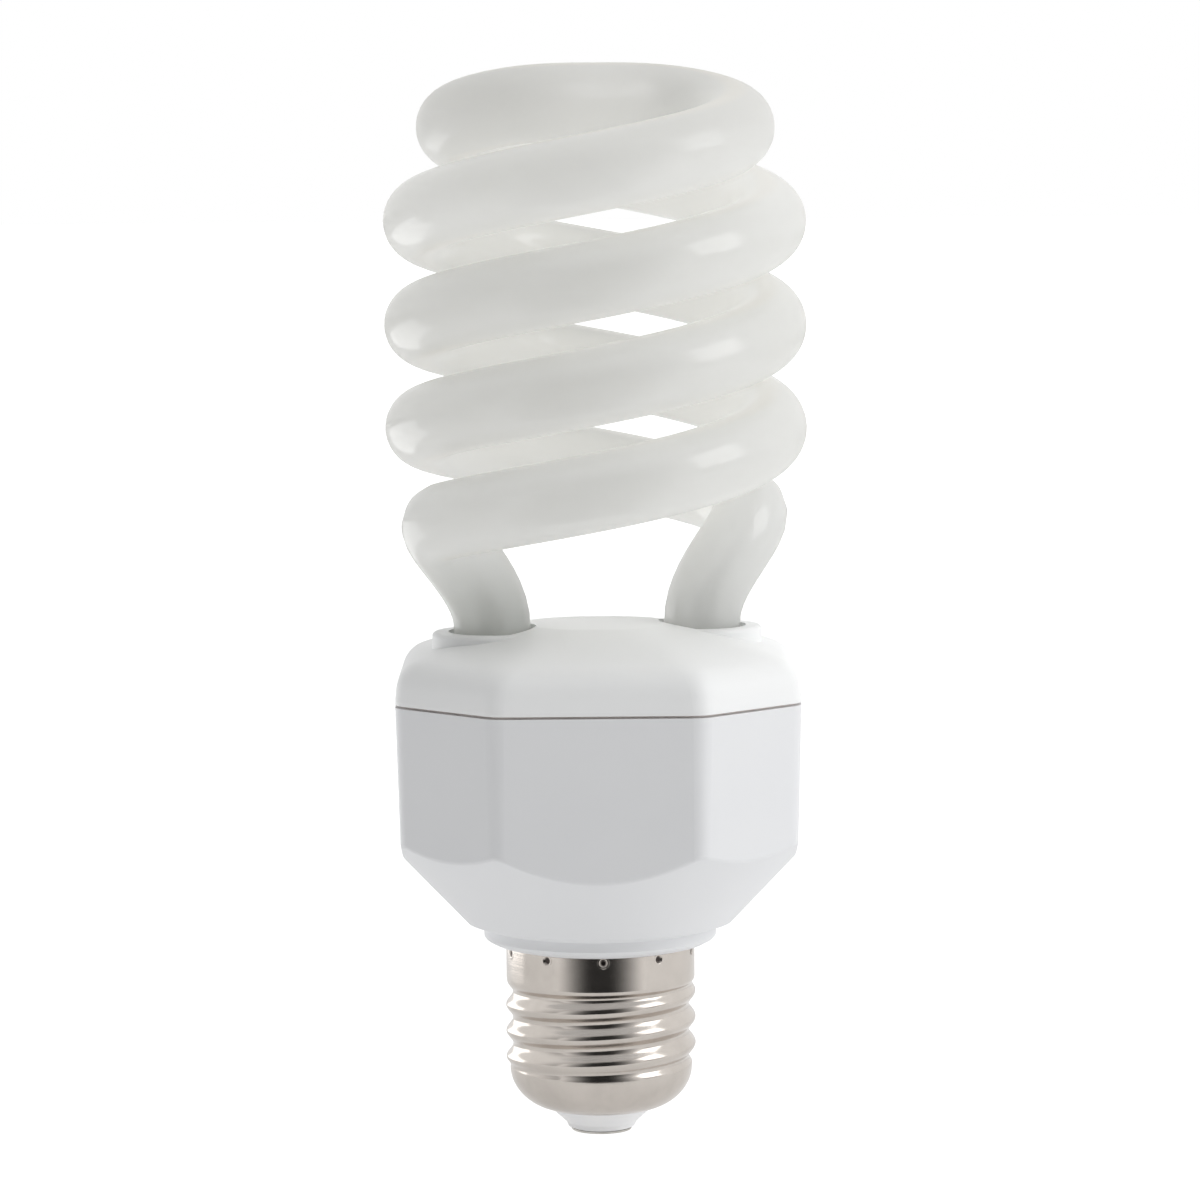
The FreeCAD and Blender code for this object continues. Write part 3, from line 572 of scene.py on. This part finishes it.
def makeSpiral(s):
    tree, w, entry = newTree("tubeOnPath", [("Radius", "Float"), ("Sides", "Int"), ("Step", "Float"),
                                           ("Finish", "Material")])
    even = w.make("GeometryNodeResampleCurve", {"mode": "LENGTH"},
                  {"Curve": entry["Geometry"], "Length": entry["Step"]})
    ring = w.make("GeometryNodeCurvePrimitiveCircle", None,
                  {"Resolution": entry["Sides"], "Radius": entry["Radius"]})
    tube = w.make("GeometryNodeCurveToMesh", None,
                  {"Curve": even, "Profile Curve": ring, "Fill Caps": True})
    normal = w.make("GeometryNodeInputNormal")
    place = w.make("GeometryNodeInputPosition")
    outward = axisOf(w, normal, "X") * axisOf(w, place, "X") + axisOf(w, normal, "Y") * axisOf(w, place, "Y")
    inward = outward * (-1 / (s["coilRadius"] * mm))
    marked = store(w, tube, "faceUp", axisOf(w, normal, "Z"))
    marked = store(w, marked, "faceIn", inward)
    endTree(w, marked, entry["Finish"])
    piece = plainMesh("glassSpiral", pathCurve("spiralPath", spiralPath(s)), tree,
                      {"Radius": s["tubeRadius"] * mm, "Sides": s["sides"], "Step": s["step"] * mm,
                       "Finish": finishes["coatedGlass"]})
    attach(piece, "root")
    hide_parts("spiral_tube")
    return piece


spiral = makeSpiral(spiralSet)
print("glass spiral faces:", len(spiral.data.polygons))


# screw shell: drawn cup, then the rule rolls in the thread and presses the marks
shellSet = {
    "crestRadius": 13.1, "threadDepth": 0.95, "pitch": 3.629, "crestHeight": 19.4, "skirtInset": 0.1,
    "lipRadius": 6.6, "lip": 3.2, "dishTop": 8.9, "dishPower": 0.92, "dishInset": 0.45,
    "threadLow": 10.2, "threadHigh": 19.6, "skirtLow": 21.4, "top": 26.0, "wall": 0.3,
    "markCount": 10, "markRadius": 0.62, "markDepth": 0.22, "markRim": 0.05, "markHeight": 25.35,
    "markTurn": -88.3, "markReach": 1.0, "pitEdge": (0.45, 0.95), "rimInside": (0.75, 1.05),
    "rimOutside": (1.05, 1.45),
    "dishRows": 24, "threadRows": 84, "skirtRows": 8, "markRows": 20, "markColumns": 16, "gapColumns": 14,
}


def evenly(low, high, count):
    return [low + (high - low) * k / count for k in range(count)]


def shellCup(s):
    skirt = s["crestRadius"] - s["skirtInset"]
    dish = skirt - s["threadDepth"] * s["dishInset"]
    rows = []
    for t in evenly(0.0, math.pi / 2, s["dishRows"]):
        rows.append((s["lipRadius"] + (dish - s["lipRadius"]) * math.sin(t),
                     s["lip"] + (s["dishTop"] - s["lip"]) * (1 - math.cos(t)) ** s["dishPower"]))
    low = s["markHeight"] - s["markReach"]
    heights = evenly(s["dishTop"], s["skirtLow"], s["threadRows"])
    heights += evenly(s["skirtLow"], low, s["skirtRows"])
    heights += evenly(low, s["top"], s["markRows"]) + [s["top"]]
    for z in heights:
        t = min(1.0, max(0.0, (z - s["threadHigh"]) / (s["skirtLow"] - s["threadHigh"])))
        rows.append((dish + (skirt - dish) * t * t * (3 - 2 * t), z))
    angles = []
    each = 2 * math.pi / s["markCount"]
    near = s["markReach"] / skirt
    for k in range(s["markCount"]):
        middle = math.radians(s["markTurn"]) + each * k
        angles += evenly(middle - near, middle + near, s["markColumns"])
        angles += evenly(middle + near, middle + each - near, s["gapColumns"])
    points = [(r * math.cos(a) * mm, r * math.sin(a) * mm, z * mm) for r, z in rows for a in angles]
    count = len(angles)
    faces = []
    for i in range(len(rows) - 1):
        for j in range(count):
            n = (j + 1) % count
            faces.append((i * count + j, i * count + n, (i + 1) * count + n, (i + 1) * count + j))
    mesh = bpy.data.meshes.new("shellCup")
    mesh.from_pydata(points, [], faces)
    return mesh


def makeShell(s):
    lengths = {
        "Pitch": "pitch", "Crest Radius": "crestRadius", "Thread Depth": "threadDepth",
        "Crest Height": "crestHeight", "Dish Top": "dishTop", "Thread Low": "threadLow",
        "Thread High": "threadHigh", "Skirt Low": "skirtLow", "Mark Radius": "markRadius",
        "Mark Depth": "markDepth", "Mark Rim": "markRim", "Mark Height": "markHeight",
    }
    values = {label: s[key] * mm for label, key in lengths.items()}
    values["Mark Turn"] = math.radians(s["markTurn"])
    values["Mark Step"] = 2 * math.pi / s["markCount"]
    tree, w, entry = newTree("rolledShell", [(label, "Float") for label in values] + [("Finish", "Material")])
    values["Finish"] = finishes["platedSteel"]
    place = w.make("GeometryNodeInputPosition")
    x, y, z = [axisOf(w, place, axis) for axis in "XYZ"]
    radius = w.calc("SQRT", x * x + y * y)
    angle = w.calc("ARCTAN2", y, x)
    phase = (z - entry["Crest Height"]) / entry["Pitch"] * (2 * math.pi) - angle
    wave = w.calc("COSINE", phase) * 0.5 + 0.5
    share = z.smooth(entry["Dish Top"], entry["Thread Low"])
    share = share * z.smooth(entry["Thread High"], entry["Skirt Low"], 1.0, 0.0)
    crest = entry["Crest Radius"] + (wave - 1) * entry["Thread Depth"] - radius
    rolled = radius + crest * share
    halfStep = entry["Mark Step"] * 0.5
    away = w.calc("WRAP", angle - entry["Mark Turn"], halfStep, halfStep * -1)
    across = away * radius
    rise = z - entry["Mark Height"]
    far = w.calc("SQRT", across * across + rise * rise) / entry["Mark Radius"]
    pit = far.smooth(*s["pitEdge"], 1.0, 0.0)
    rim = far.smooth(*s["rimInside"]) * far.smooth(*s["rimOutside"], 1.0, 0.0)
    pressed = rolled - pit * entry["Mark Depth"] + rim * entry["Mark Rim"]
    scale = pressed / radius
    moved = w.make("ShaderNodeCombineXYZ", None, {0: x * scale, 1: y * scale, 2: z})
    marked = store(w, entry["Geometry"], "markDepth", pit)
    shaped = w.make("GeometryNodeSetPosition", None, {"Geometry": marked, "Position": moved})
    endTree(w, shaped, entry["Finish"])
    piece = plainMesh("screwShell", shellCup(s), tree, values)
    wall = piece.modifiers.new("wall", "SOLIDIFY")
    wall.thickness = s["wall"] * mm
    wall.offset = -1.0
    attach(piece, "root")
    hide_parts("screw_shell")
    return piece


shell = makeShell(shellSet)
print("screw shell faces:", len(shell.data.polygons))
